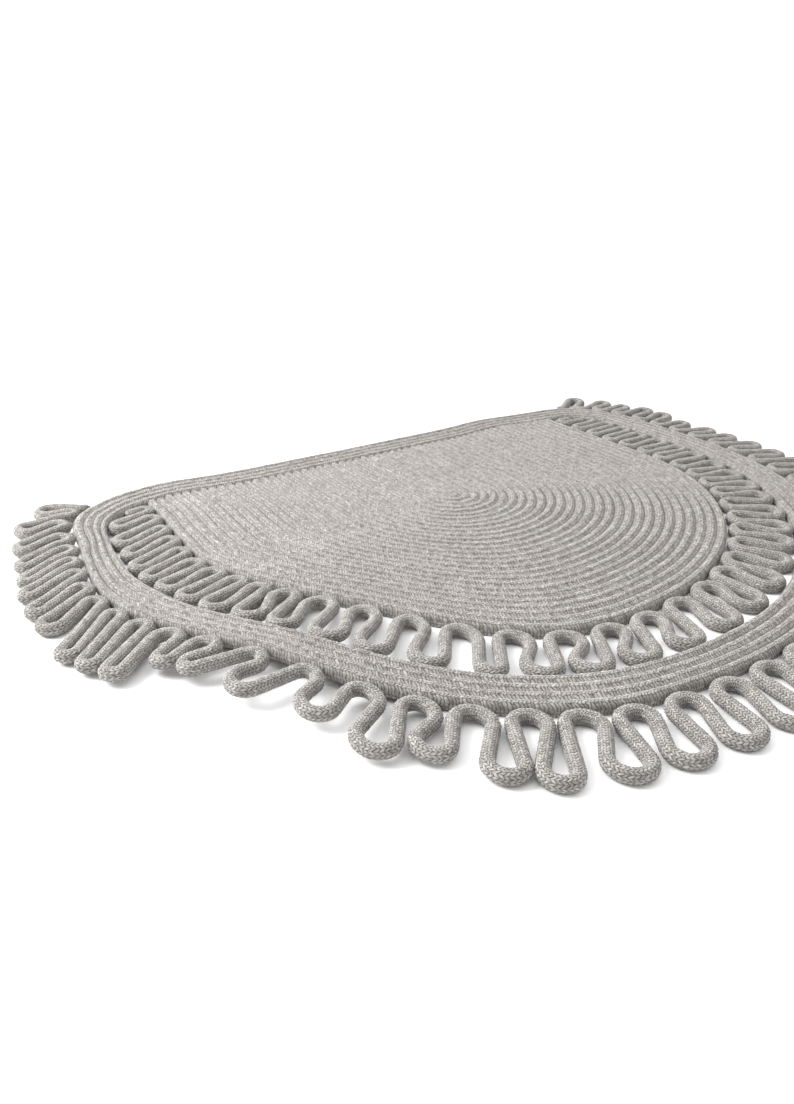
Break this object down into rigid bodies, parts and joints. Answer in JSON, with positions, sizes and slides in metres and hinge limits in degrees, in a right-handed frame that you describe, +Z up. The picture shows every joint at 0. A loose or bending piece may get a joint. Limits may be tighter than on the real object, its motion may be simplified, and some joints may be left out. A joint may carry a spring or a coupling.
{
  "type": "half-moon rug",
  "caption": "Half-moon rug of braided cord: a centre panel of U-shaped rows, a sewn border, and looped cord round the inside and outside of it.",
  "frame": {"origin": "on the underside, at the centre of the arc of the round front", "axes": "+X along the straight edge, +Y towards the straight edge, +Z up out of the rug's face"},
  "size_m": [0.9021, 0.6826, 0.0108],
  "materials": {
    "panel_cord": "matte braided cord, light warm grey",
    "border_cord": "matte braided cord, light warm grey",
    "loop_cord": "matte braided cord, light warm grey"
  },
  "bodies": {
    "root": {"centre_panel": "panel_cord", "border_band": "border_cord", "inner_loops": "loop_cord", "outer_loops": "loop_cord"}
  },
  "joints": []
}
